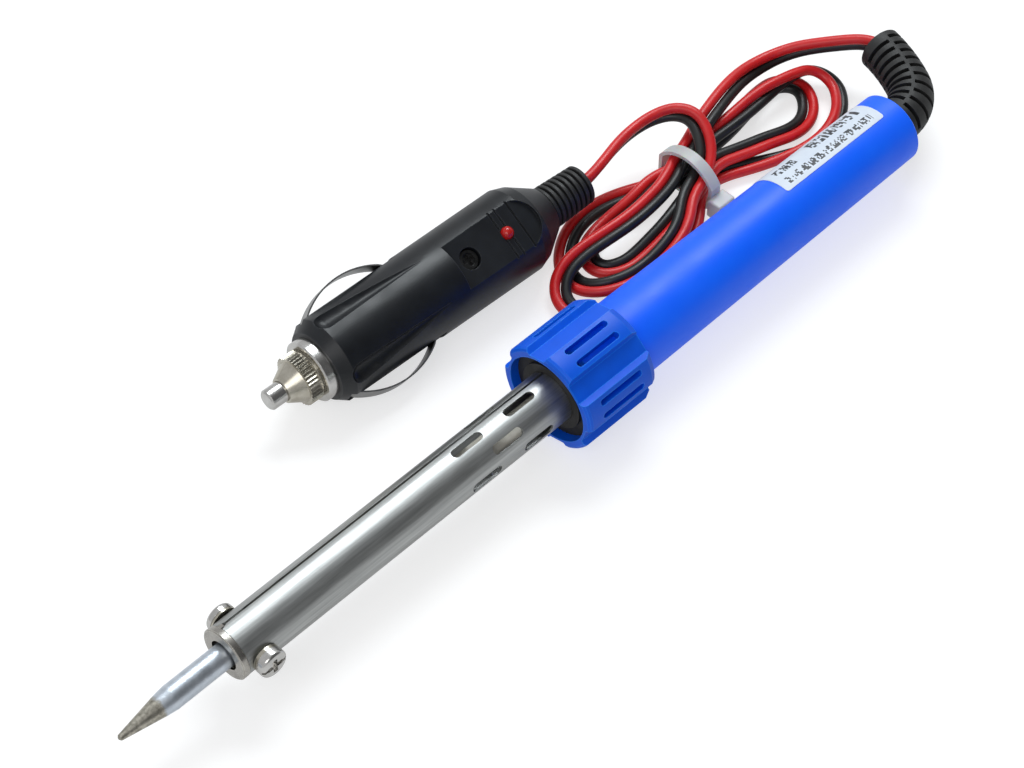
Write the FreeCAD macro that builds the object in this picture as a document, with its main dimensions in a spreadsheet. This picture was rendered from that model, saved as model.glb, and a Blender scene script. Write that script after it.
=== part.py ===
import FreeCAD, Part
import math
import os
import Sketcher
from FreeCAD import Placement, Rotation, Vector

# Soldering iron lying along X with its tip towards -X, plus its tied cord and 12 V plug.
# Every sub-part is drawn in its own local frame, with X along its axis, and then placed.

SIZES = {
    # bit and its holder
    "bit_x": -116.9, "bit_length": 58.2, "bit_r": 2.72, "bit_cone": 13.1, "bit_point": 10.6,
    "bit_point_r": 2.42, "bit_tip_r": 0.68, "bit_tip_back": 0.35, "bit_tip_flat": 0.3,
    "plate_x": -90.0, "plate_thick": 1.5, "plate_r": 6.07, "plate_edge": 0.25, "plate_bore": 3.55,
    "spigot_r": 5.4, "spigot_end": 2.8, "tab_half": 0.6, "tab_end": 2.5, "tab_low": 5.2, "tab_high": 0.82,
    "holder_x": -87.1, "holder_length": 5.2, "holder_r": 5.42, "holder_bore": 2.85, "cross_hole_r": 1.53,
    # barrel
    "barrel_x": -88.38, "barrel_length": 117.4, "barrel_r": 6.0, "barrel_bore": 5.5, "seam_width": 0.7,
    "seam_turn": 24.5, "flare_half": 0.95, "flare_long": 1.7, "slot_width": 2.25, "slot_length": 8.3,
    "ring_one": 80.1, "ring_two": 72.7, "ring_three": 65.15, "screw_hole_r": 1.8, "screw_at": 3.88,
    # clamp screws and washers, measured out from the iron's axis
    "clamp_x": -84.5, "clamp_foot": 2.85, "clamp_near_top": 8.95, "clamp_near_high": 2.1,
    "clamp_far_top": 8.15, "clamp_far_high": 1.6, "head_r": 3.25, "head_round": 0.8,
    "clamp_shank_r": 1.45, "cross_depth": 1.1, "cross_wide": 1.15, "cross_long": 3.7,
    "clamp_slot_depth": 0.45, "clamp_slot_wide": 0.7, "slot_long": 7.0,
    "washer_near_top": 6.82, "washer_near_thick": 0.8, "washer_far_top": 6.52, "washer_far_thick": 0.5,
    "washer_r": 3.2, "washer_bore": 1.6,
    # heater
    "core_x": -80.5, "core_length": 48.5, "core_r": 4.4, "core_bore": 2.95,
    "coil_x": -78.0, "coil_length": 42.0, "coil_pitch": 2.4, "coil_r": 4.72, "coil_wire_r": 0.22,
    "mica_x": -80.5, "mica_length": 49.5, "mica_r": 5.3, "mica_bore": 5.05,
    "lead_x": -31.5, "lead_length": 76.5, "lead_r": 0.35, "lead_y": 1.75,
    "sleeve_x": -29.0, "sleeve_length": 69.0, "sleeve_r": 1.1, "sleeve_bore": 0.45,
    "crimp_x": 41.5, "crimp_length": 8.5, "crimp_r": 1.6, "crimp_bore": 0.45,
    # disc, collar and handle
    "disc_x": 1.3, "disc_thick": 2.6, "disc_r": 10.5, "disc_bore": 6.08, "boss_r": 8.1, "boss_high": 0.9,
    "collar_length": 20.2, "collar_r": 12.8, "collar_front_r": 12.0, "collar_front": 0.9,
    "collar_lip": 0.35, "collar_lip_r": 12.55, "collar_rear_r": 11.9, "collar_rear": 18.6,
    "collar_bore": 10.6, "collar_wall": 17.6, "collar_neck": 9.33, "land_turn": 14.0, "flute_floor": 11.15,
    "flute_floor_half": 2.1, "flute_top": 13.6, "flute_top_half": 4.2, "vent_width": 1.5, "vent_length": 12.1, "vent_mid": 10.15, "vent_side": 1.75,
    "handle_x": 8.0, "handle_spigot": 9.4, "handle_spigot_r": 8.2, "handle_front_r": 9.25,
    "handle_length": 102.4, "handle_rear_r": 8.41, "handle_edge": 0.4, "handle_bore": 6.4,
    "handle_wall": 98.0, "handle_hole": 4.6,
    "label_x": 73.0, "label_length": 32.2, "label_front_r": 8.766, "label_rear_r": 8.474,
    "label_thick": 0.12, "label_turn": 135.0, "label_start": 10.5, "label_corner": 0.7,
    # cord and its strain relief at the handle
    "core_wire_r": 1.2, "core_side": 1.25, "cord_start": 51.0,
    "relief_x": 104.2, "relief_flange": 1.6, "relief_flange_r": 5.8, "relief_neck": 6.35,
    "relief_neck_r": 4.5, "relief_straight": 9.1, "relief_r": 5.25, "relief_bore": 2.85,
    "relief_bend": 11.5, "relief_corner": 62.0, "relief_sweep": 45.0, "relief_turn": 78.0,
    "rib_step": 1.25, "rib_gap": 1.05, "rib_core": 3.6, "rib_arc": 82.0,
    "tie_x": 73.0, "tie_y": 26.5, "tie_low": -12.85, "tie_half": 7.1, "tie_side": 6.3, "tie_crown": 3.7,
    "tie_corner": 2.0, "tie_band": 0.95, "tie_width": 2.9, "tie_head": 5.2, "tie_tail": 15.0,
    "tie_column_near": 23.4, "tie_column_far": 29.6, "tie_floor": -10.3, "tie_step": 2.6,
    # plug: x is measured along its own axis, nose towards -x, panel facing local +z
    "plug_x": 1.47, "plug_y": 40.86, "plug_z": -2.55, "plug_heading": -2.4, "plug_roll": 30.5,
    "shell_x": -27.85, "shell_nose_r": 8.3, "shell_nose": 2.6, "shell_front_r": 10.1,
    "shell_rear": 56.55, "shell_rear_r": 10.3, "shell_tail": 59.45, "shell_tail_r": 9.35,
    "shell_end": 65.15, "shell_end_r": 5.7, "shell_mouth": 2.0, "shell_mouth_r": 5.42,
    "shell_bore": 8.0, "shell_rib": 31.75, "shell_rib_end": 33.15, "shell_rib_r": 1.4,
    "shell_back_bore": 7.3, "shell_back": 58.1, "shell_hole_r": 3.25, "shell_gap": 0.08,
    "panel_front": 7.85, "panel_mid": 25.1, "panel_r": 6.0, "panel_high": 8.6,
    "trough_front": -23.3, "trough_out": 11.4, "trough_r": 2.9, "trough_turn": 42.0,
    "trough_end": 3.6, "trough_end_out": 10.33, "trough_end_r": 0.08, "trough_end_turn": 32.0,
    "case_screw_x": 12.0, "case_screw_hole": 2.5, "post_r": 3.7, "post_bore": 1.45, "post_reach": 8.2,
    "post_bore_low": 6.2, "led_x": 22.9, "led_hole": 1.55, "led_hole_low": 6.5, "led_r": 1.48,
    "line_wide": 0.5, "line_deep": 0.35, "line_one": 21.4, "line_two": 23.1, "line_three": 26.4,
    "earth_slot_front": -26.2, "earth_slot_length": 26.6, "earth_slot_half": 2.6,
    "case_screw_top": 7.7, "case_screw_head_r": 2.2, "case_screw_head": 1.5, "case_screw_r": 1.38,
    "case_screw_length": 13.5, "case_dish_r": 1.5, "case_dish": 0.4, "case_seat": 6.17,
    "led_top": 9.85, "led_body": 4.6, "led_flange_r": 1.9,
    "resistor_x": 16.6, "resistor_y": 3.6, "resistor_z": 3.4, "resistor_r": 1.0, "resistor_length": 5.6,
    "ring_x": -30.4, "ring_thick": 2.5, "ring_r": 7.25, "ring_bore": 5.42, "ring_edge": 0.3,
    "cap_x": -37.6, "cap_front_r": 3.0, "cap_cone": 3.6, "cap_cone_r": 5.0, "cap_knurl": 3.2,
    "cap_knurl_r": 5.9, "cap_knurl_root": 5.45, "cap_skirt_r": 5.33, "cap_skirt": 15.2, "cap_hole": 2.48,
    "cap_wall": 2.8, "cap_bore": 3.9,
    "pin_x": -41.7, "pin_r": 2.4, "pin_length": 8.4, "pin_flange_at": 7.4, "pin_flange_r": 3.75,
    "pin_edge": 0.4,
    "spring_x": -32.95, "spring_length": 5.6, "spring_r": 2.7, "spring_wire_r": 0.27, "spring_pitch": 1.35,
    "fuse_x": -26.8, "fuse_length": 29.8, "fuse_r": 2.62, "fuse_bore": 2.1, "fuse_cap_r": 3.05,
    "fuse_cap": 5.6, "fuse_cap_end": 0.4, "fuse_play": 0.03,
    "cup_x": 1.3, "cup_length": 2.5, "cup_r": 3.6, "cup_bore": 3.12, "cup_deep": 1.8,
    "earth_root_x": -25.4, "earth_root_y": 8.4, "earth_root_r": 0.6, "earth_bow_r": 18.6,
    "earth_bow_x": -13.3, "earth_peak": 13.3, "earth_thick": 0.35, "earth_half": 2.4, "earth_tail": 2.4,
    "earth_tip_x": -3.6, "earth_dip_x": 3.8, "earth_dip": 3.25,
    "plug_relief_x": 29.0, "plug_relief_flange": 1.2, "plug_relief_flange_r": 5.0,
    "plug_relief_neck_r": 3.15, "plug_relief_neck": 8.7, "plug_relief_r": 5.15,
    "plug_relief_end_r": 4.75, "plug_relief_length": 20.6, "plug_relief_bore": 2.75, "plug_rib_deep": 0.9,
    "plug_rib_gap": 0.6, "plug_rib_edge": 0.15, "cord_end": 18.0,
}

doc = FreeCAD.newDocument("SolderingIron")
sheet = doc.addObject("Spreadsheet::Sheet", "Dims")
for row, (alias, size) in enumerate(SIZES.items(), start=1):
    sheet.set("A%d" % row, alias)
    sheet.set("B%d" % row, str(size))
    sheet.setAlias("B%d" % row, alias)
DERIVED = {
    "slot_reach": "=(slot_length - slot_width) / 2", "slot_r": "=slot_width / 2",
    "seam_half": "=seam_width / 2", "cross_half": "=cross_wide / 2",
    "slot_arm": "=slot_long / 2", "cross_arm": "=cross_long / 2", "case_arm": "=case_dish_r - 0.15",
    "case_wide": "=cross_wide - 0.35",
    "vent_reach": "=(vent_length - vent_width) / 2", "vent_r": "=vent_width / 2",
}
for row, (alias, rule) in enumerate(DERIVED.items(), start=1):
    sheet.set("D%d" % row, rule)
    sheet.setAlias("D%d" % row, alias)
doc.recompute()

made = []


def size(words):
    """Value of a sum such as 'ring_x + ring_thick', read from the sheet."""
    total, sign = 0.0, 1
    for word in words.split():
        if word in "+-":
            sign = 1 if word == "+" else -1
        else:
            total += sign * float(sheet.get(word))
    return total


def formula(words):
    """The same sum as an expression bound to the sheet."""
    return " ".join(w if w in "+-" else "Dims." + w for w in words.split())


def keep(item, label):
    item.Label = label
    made.append(item)
    return item


def axis_plane(body, role):
    return next(f for f in body.Origin.OriginFeatures if f.Role == role)


def new_body(label):
    return keep(doc.addObject("PartDesign::Body", label), label)


def new_sketch(body, name, role, turn=0.0, lift=0.0):
    """A sketch on one of the body's own planes, turned about X and lifted along its normal."""
    sketch = body.newObject("Sketcher::SketchObject", name)
    sketch.AttachmentSupport = [(axis_plane(body, role), "")]
    sketch.MapMode = "FlatFace"
    rotation = Rotation(Vector(1, 0, 0), turn)
    sketch.AttachmentOffset = Placement(rotation.multVec(Vector(0, 0, lift)), rotation)
    return sketch


def fix_point(sketch, geometry, position, x, y):
    """Ties one point to the sketch origin through the sheet; '' means on that axis."""
    for words, kind, line in ((x, "DistanceX", -2), (y, "DistanceY", -1)):
        if words:
            number = sketch.addConstraint(
                Sketcher.Constraint(kind, -1, 1, geometry, position, size(words)))
            sketch.setExpression("Constraints[%d]" % number, formula(words))
        else:
            sketch.addConstraint(Sketcher.Constraint("PointOnObject", geometry, position, line))


def draw_polygon(sketch, corners):
    spots = [Vector(size(x) if x else 0, size(y) if y else 0, 0) for x, y in corners]
    count = len(spots)
    for k in range(count):
        sketch.addGeometry(Part.LineSegment(spots[k], spots[(k + 1) % count]), False)
    for k in range(count):
        sketch.addConstraint(Sketcher.Constraint("Coincident", k, 2, (k + 1) % count, 1))
    for k, (x, y) in enumerate(corners):
        fix_point(sketch, k, 1, x, y)


def turned(label, corners):
    """A solid turned about X from (x, radius) corners."""
    body = new_body(label)
    sketch = new_sketch(body, label + "_profile", "XY_Plane")
    draw_polygon(sketch, corners)
    turn = body.newObject("PartDesign::Revolution", label + "_turn")
    turn.Profile = sketch
    turn.ReferenceAxis = (sketch, ["H_Axis"])
    turn.Angle = 360.0
    sketch.Visibility = False
    doc.recompute()
    return body


def draw_slot(sketch, start, end, radius, side=""):
    """A round-ended slot along the sketch's X, its two centres at start and end."""
    first = len(sketch.Geometry)
    r = size(radius)
    y = size(side) if side else 0
    a, b = Vector(size(start), y, 0), Vector(size(end), y, 0)
    up = Vector(0, 0, 1)
    sketch.addGeometry(Part.ArcOfCircle(Part.Circle(a, up, r), math.pi / 2, 3 * math.pi / 2), False)
    sketch.addGeometry(Part.ArcOfCircle(Part.Circle(b, up, r), -math.pi / 2, math.pi / 2), False)
    down = Vector(0, r, 0)
    sketch.addGeometry(Part.LineSegment(a - down, b - down), False)
    sketch.addGeometry(Part.LineSegment(b + down, a + down), False)
    for one, end_one, two, end_two in ((0, 2, 2, 1), (2, 2, 1, 1), (1, 2, 3, 1), (3, 2, 0, 1)):
        sketch.addConstraint(
            Sketcher.Constraint("Tangent", first + one, end_one, first + two, end_two))
    fix_point(sketch, first, 3, start, side)
    fix_point(sketch, first + 1, 3, end, side)
    number = sketch.addConstraint(Sketcher.Constraint("Radius", first, r))
    sketch.setExpression("Constraints[%d]" % number, formula(radius))


def pocket(body, sketch, name, both=False, deep="", reverse=False):
    cut = body.newObject("PartDesign::Pocket", name)
    cut.Profile = sketch
    if deep:
        cut.Type = "Length"
        cut.setExpression("Length", formula(deep))
    else:
        cut.Type = "ThroughAll"
    cut.Midplane = both
    cut.Reversed = reverse
    sketch.Visibility = False
    doc.recompute()
    return cut


def around(body, features, count, name):
    pattern = body.newObject("PartDesign::PolarPattern", name)
    pattern.Originals = features
    pattern.Axis = (axis_plane(body, "X_Axis"), [""])
    pattern.Angle = 360.0
    pattern.Occurrences = count
    body.Tip = pattern
    doc.recompute()
    return pattern


def feature(label, shape, placement=None):
    """A sub-part shaped by Part functions."""
    item = keep(doc.addObject("Part::Feature", label), label)
    item.Shape = shape
    if placement:
        item.Placement = placement.multiply(shape.Placement)
    return item


def on_iron(item, x, turn=0.0):
    item.Placement = Placement(Vector(size(x), 0, 0), Rotation(Vector(1, 0, 0), turn))


def plug_place(x="", y="", z=""):
    """Placement of a point of the plug's frame, its panel rolled towards -Y."""
    turn = Rotation(Vector(0, 0, 1), size("plug_heading")) * Rotation(Vector(1, 0, 0), size("plug_roll"))
    frame = Placement(Vector(size("plug_x"), size("plug_y"), size("plug_z")), turn)
    local = Vector(size(x) if x else 0, size(y) if y else 0, size(z) if z else 0)
    return frame.multiply(Placement(local, Rotation()))


def rod(x, radius, length, y=0.0, z=0.0):
    return Part.makeCylinder(radius, length, Vector(x, y, z), Vector(1, 0, 0))


# ---------------------------------------------------------------- iron, front end

def bit():
    body = turned("bit", [
        ("", ""), ("", "bit_tip_flat"), ("bit_tip_back", "bit_tip_r"), ("bit_point", "bit_point_r"),
        ("bit_cone", "bit_r"), ("bit_length", "bit_r"), ("bit_length", "")])
    on_iron(body, "bit_x")


def end_plate():
    body = turned("end_plate", [
        ("", "plate_bore"), ("", "plate_r - plate_edge"), ("plate_edge", "plate_r"),
        ("plate_thick", "plate_r"), ("plate_thick", "spigot_r"), ("spigot_end", "spigot_r"),
        ("spigot_end", "plate_bore")])
    tab = new_sketch(body, "tab", "XY_Plane", -size("seam_turn"), size("tab_low"))
    draw_polygon(tab, [("plate_thick - plate_edge", "tab_half"), ("tab_end", "tab_half"),
                       ("tab_end", "- tab_half"), ("plate_thick - plate_edge", "- tab_half")])
    pad = body.newObject("PartDesign::Pad", "tab_pad")
    pad.Profile = tab
    pad.setExpression("Length", formula("tab_high"))
    tab.Visibility = False
    doc.recompute()
    on_iron(body, "plate_x")


def holder_ring():
    body = turned("holder_ring", [
        ("", "holder_bore"), ("", "holder_r"), ("holder_length", "holder_r"),
        ("holder_length", "holder_bore")])
    sketch = new_sketch(body, "holder_cross", "XZ_Plane")
    centre = Vector(size("clamp_x - holder_x"), 0, 0)
    sketch.addGeometry(Part.Circle(centre, Vector(0, 0, 1), size("cross_hole_r")), False)
    fix_point(sketch, 0, 3, "clamp_x - holder_x", "")
    radius = sketch.addConstraint(Sketcher.Constraint("Radius", 0, size("cross_hole_r")))
    sketch.setExpression("Constraints[%d]" % radius, formula("cross_hole_r"))
    pocket(body, sketch, "holder_cross_hole", both=True)
    on_iron(body, "holder_x")


def barrel():
    body = turned("barrel", [
        ("", "barrel_bore"), ("", "barrel_r"), ("barrel_length", "barrel_r"),
        ("barrel_length", "barrel_bore")])
    rings = [("one_top", "XY_Plane", 0, "ring_one"), ("one_side", "XY_Plane", 90, "ring_one"),
             ("two_top", "XY_Plane", 45, "ring_two"), ("two_side", "XY_Plane", 135, "ring_two"),
             ("three_top", "XY_Plane", 0, "ring_three"), ("three_side", "XY_Plane", 90, "ring_three")]
    for name, role, turn, where in rings:
        sketch = new_sketch(body, "vent_" + name, role, turn)
        draw_slot(sketch, where + " - slot_reach", where + " + slot_reach", "slot_r")
        pocket(body, sketch, "vent_cut_" + name, both=True)
    hole = new_sketch(body, "screw_hole", "XZ_Plane")
    hole.addGeometry(Part.Circle(Vector(size("screw_at"), 0, 0), Vector(0, 0, 1), size("screw_hole_r")), False)
    fix_point(hole, 0, 3, "screw_at", "")
    radius = hole.addConstraint(Sketcher.Constraint("Radius", 0, size("screw_hole_r")))
    hole.setExpression("Constraints[%d]" % radius, formula("screw_hole_r"))
    pocket(body, hole, "screw_hole_cut", both=True)
    seam = new_sketch(body, "seam", "XY_Plane", -size("seam_turn"))
    draw_polygon(seam, [("", "flare_half"), ("flare_long", "seam_half"), ("barrel_length", "seam_half"),
                        ("barrel_length", "- seam_half"), ("flare_long", "- seam_half"),
                        ("", "- flare_half")])
    before = body.Shape.Volume
    cut = pocket(body, seam, "seam_cut", reverse=True)
    if body.Shape.Volume >= before - 1:
        cut.Reversed = False
    doc.recompute()
    on_iron(body, "barrel_x")


def clamp_screw(label, side, top, high):
    """A pan head screw with a cross recess and a shallow slot, pointing at the iron's axis."""
    body = turned(label, [
        ("", ""), ("", "head_r"), (high, "head_r"), (high, "clamp_shank_r"),
        (top + " - clamp_foot", "clamp_shank_r"), (top + " - clamp_foot", "")])
    blank = body.Tip
    dome = body.newObject("PartDesign::Fillet", label + "_dome")
    edge = next(k for k, e in enumerate(blank.Shape.Edges, start=1)
                if e.BoundBox.XMax < 0.01 and e.BoundBox.YLength > size("head_r"))
    dome.Base = (blank, ["Edge%d" % edge])
    dome.setExpression("Radius", formula("head_round"))
    doc.recompute()
    for name, role, arm, deep, wide in (
            ("slot", "XY_Plane", "slot_arm", "clamp_slot_depth", "clamp_slot_wide"),
            ("bar", "XY_Plane", "cross_arm", "cross_depth", "cross_wide"),
            ("cross", "XZ_Plane", "cross_arm", "cross_depth", "cross_wide")):
        sketch = new_sketch(body, label + "_" + name, role)
        draw_polygon(sketch, [("", arm), (deep, arm), (deep, "- " + arm), ("", "- " + arm)])
        cut = body.newObject("PartDesign::Pocket", label + "_" + name + "_cut")
        cut.Profile = sketch
        cut.Type = "Length"
        cut.setExpression("Length", formula(wide))
        cut.Midplane = True
        doc.recompute()
    body.Placement = Placement(
        Vector(size("clamp_x"), side * size(top), 0), Rotation(Vector(0, 0, 1), -90 * side))


def washer(label, side, top, thick):
    body = turned(label, [
        ("", "washer_bore"), ("", "washer_r"), (thick, "washer_r"), (thick, "washer_bore")])
    body.Placement = Placement(
        Vector(size("clamp_x"), side * size(top), 0), Rotation(Vector(0, 0, 1), -90 * side))


# ---------------------------------------------------------------- heater

def sleeve_body(label, x, length, outer, inner):
    body = turned(label, [("", inner), ("", outer), (length, outer), (length, inner)])
    on_iron(body, x)


def helix(pitch, length, radius, wire_r):
    """A round wire wound about X from the local origin."""
    path = Part.makeHelix(pitch, length, radius)
    section = Part.Wire(Part.makeCircle(wire_r, Vector(radius, 0, 0), Vector(0, 1, 0)))
    coil = Part.Wire(path.Edges).makePipeShell([section], True, True)
    coil.rotate(Vector(0, 0, 0), Vector(0, 1, 0), 90)
    return coil


def heater_coil():
    shape = helix(size("coil_pitch"), size("coil_length"), size("coil_r"), size("coil_wire_r"))
    feature("heater_coil", shape, Placement(Vector(size("coil_x"), 0, 0), Rotation()))


def pair(label, x, length, outer, inner):
    """Two equal tubes or rods, one each side of the iron's axis."""
    pieces = []
    for side in (-1, 1):
        piece = rod(0, size(outer), size(length), side * size("lead_y"))
        if inner:
            piece = piece.cut(rod(-1, size(inner), size(length) + 2, side * size("lead_y")))
        pieces.append(piece)
    feature(label, Part.makeCompound(pieces), Placement(Vector(size(x), 0, 0), Rotation()))


# ---------------------------------------------------------------- disc, collar, handle

def heat_disc():
    body = turned("heat_disc", [
        ("boss_high", "disc_r"), ("disc_thick", "disc_r"), ("disc_thick", "disc_bore"),
        ("", "disc_bore"), ("", "boss_r"), ("boss_high", "boss_r")])
    on_iron(body, "disc_x")


def collar():
    body = turned("collar", [
        ("", "collar_bore"), ("", "collar_front_r"), ("collar_lip", "collar_lip_r"),
        ("collar_front", "collar_r"),
        ("collar_rear", "collar_r"), ("collar_length", "collar_rear_r"),
        ("collar_length", "collar_neck"), ("collar_wall", "collar_neck"),
        ("collar_wall", "collar_bore")])
    flute = new_sketch(body, "flute", "YZ_Plane")
    draw_polygon(flute, [("flute_floor_half", "flute_floor"), ("flute_top_half", "flute_top"),
                         ("- flute_top_half", "flute_top"), ("- flute_floor_half", "flute_floor")])
    cut = pocket(body, flute, "flute_cut", both=True)
    around(body, [cut], 6, "flutes")
    for name, side in (("left", "vent_side"), ("right", "- vent_side")):
        sketch = new_sketch(body, "vent_" + name, "XY_Plane", 30)
        draw_slot(sketch, "vent_mid - vent_reach", "vent_mid + vent_reach", "vent_r", side)
        cut = pocket(body, sketch, "vent_cut_" + name)
        around(body, [cut], 6, "vents_" + name)
    body.Placement = Placement(
        Vector(0, 0, 0), Rotation(Vector(1, 0, 0), size("land_turn") + 30))


def handle():
    body = turned("handle", [
        ("", "handle_bore"), ("", "handle_spigot_r"), ("handle_spigot", "handle_spigot_r"),
        ("handle_spigot", "handle_front_r"), ("handle_length - handle_edge", "handle_rear_r"),
        ("handle_length", "handle_rear_r - handle_edge"), ("handle_length", "handle_hole"),
        ("handle_wall", "handle_hole"), ("handle_wall", "handle_bore")])
    on_iron(body, "handle_x")


def label():
    """A thin patch wrapped on the handle's taper, its four corners rounded."""
    length, thick, corner = size("label_length"), size("label_thick"), size("label_corner")
    front, rear, turn = size("label_front_r"), size("label_rear_r"), size("label_turn")
    edge = [Vector(0, 0, front), Vector(length, 0, rear),
            Vector(length, 0, rear + thick), Vector(0, 0, front + thick)]
    axis = Vector(1, 0, 0)
    shape = Part.Face(Part.makePolygon(edge + edge[:1])).revolve(Vector(), axis, turn)
    for x, ahead, radius in ((0, 1, front), (length, -1, rear)):
        for start, around_way in ((0, 1), (turn, -1)):
            square = Part.makeBox(corner + 1, corner + 1, 3, Vector(-1, -1, radius - 1))
            square = square.cut(Part.makeCylinder(corner, 3, Vector(corner, corner, radius - 1)))
            if ahead < 0:
                square = square.mirror(Vector(), Vector(1, 0, 0))
            if around_way > 0:
                square = square.mirror(Vector(), Vector(0, 1, 0))
            square.translate(Vector(x, 0, 0))
            square.rotate(Vector(), axis, start)
            shape = shape.cut(square)
    feature("label", shape, Placement(
        Vector(size("label_x"), 0, 0), Rotation(axis, size("label_start - label_turn"))))


# ---------------------------------------------------------------- strain relief and cord

def bend_frame(angle):
    """Point and heading on the strain relief's centre line after turning by angle."""
    turn, corner = math.radians(angle), math.radians(min(angle, size("relief_corner")))
    bend, sweep = size("relief_bend"), size("relief_sweep")
    point = Vector(size("relief_x + relief_straight"), 0, 0)
    point += Vector(math.sin(corner), 1 - math.cos(corner), 0) * bend
    point += Vector(math.sin(turn) - math.sin(corner), math.cos(corner) - math.cos(turn), 0) * sweep
    return point, Vector(math.cos(turn), math.sin(turn), 0)


def bent_bar(radius, x_start):
    """Round bar along the handle's axis from x_start, then round the strain relief's two bends."""
    start = size("relief_x + relief_straight")
    bar = rod(x_start, radius, start - x_start)
    corner, end = size("relief_corner"), size("relief_turn")
    for before, after, bend in ((0, corner, size("relief_bend")), (corner, end, size("relief_sweep"))):
        point, heading = bend_frame(before)
        disc = Part.Face(Part.Wire(Part.makeCircle(radius, point, heading)))
        centre = point + Vector(-heading.y, heading.x, 0) * bend
        bar = bar.fuse(disc.revolve(centre, Vector(0, 0, 1), after - before))
    return bar


def relief_frames():
    """Centre-line frames one rib step apart along the bent part."""
    corner, end = size("relief_corner"), size("relief_turn")
    first = math.radians(corner) * size("relief_bend")
    second = math.radians(end - corner) * size("relief_sweep")
    step = size("rib_step")
    frames = []
    for k in range(int((first + second) / step) - 1):
        along = step * (k + 0.5)
        if along < first:
            angle = corner * along / first
        else:
            angle = corner + (end - corner) * (along - first) / second
        frames.append(bend_frame(angle))
    return frames


def rib_slot(point, heading, across):
    """An open slot part-way round the relief, facing across."""
    gap, arc = size("rib_gap"), size("rib_arc")
    outer = Part.makeCylinder(size("relief_r") + 2, gap, Vector(0, 0, -gap / 2), Vector(0, 0, 1), arc)
    slot = outer.cut(Part.makeCylinder(size("rib_core"), gap, Vector(0, 0, -gap / 2)))
    slot.rotate(Vector(), Vector(0, 0, 1), -arc / 2)
    slot.Placement = Placement(
        point, Rotation(across, heading.cross(across), heading, "ZXY")).multiply(slot.Placement)
    return slot


def cord_relief():
    start = size("relief_x")
    shape = bent_bar(size("relief_r"), start + size("relief_neck"))
    shape = shape.fuse(rod(start, size("relief_neck_r"), size("relief_neck + rib_gap")))
    shape = shape.fuse(rod(start, size("relief_flange_r"), size("relief_flange")))
    slots = []
    for k, (point, heading) in enumerate(relief_frames()):
        outward = Vector(heading.y, -heading.x, 0) * (1 if k % 2 == 0 else -1)
        across = (outward + Vector(0, 0, 1)).normalize()
        slots += [rib_slot(point, heading, across), rib_slot(point, heading, across * -1)]
    shape = shape.cut(slots)
    shape = shape.cut(bent_bar(size("relief_bore"), start - 1))
    feature("cord_relief", shape.removeSplitter())


def tie_pass(column, level):
    """Where one pass of the cord goes through the cable tie."""
    across = size("tie_column_near") if column == 1 else size("tie_column_far")
    return (size("tie_x"), across, size("tie_floor") + size("tie_step") * (level - 1))


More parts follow.
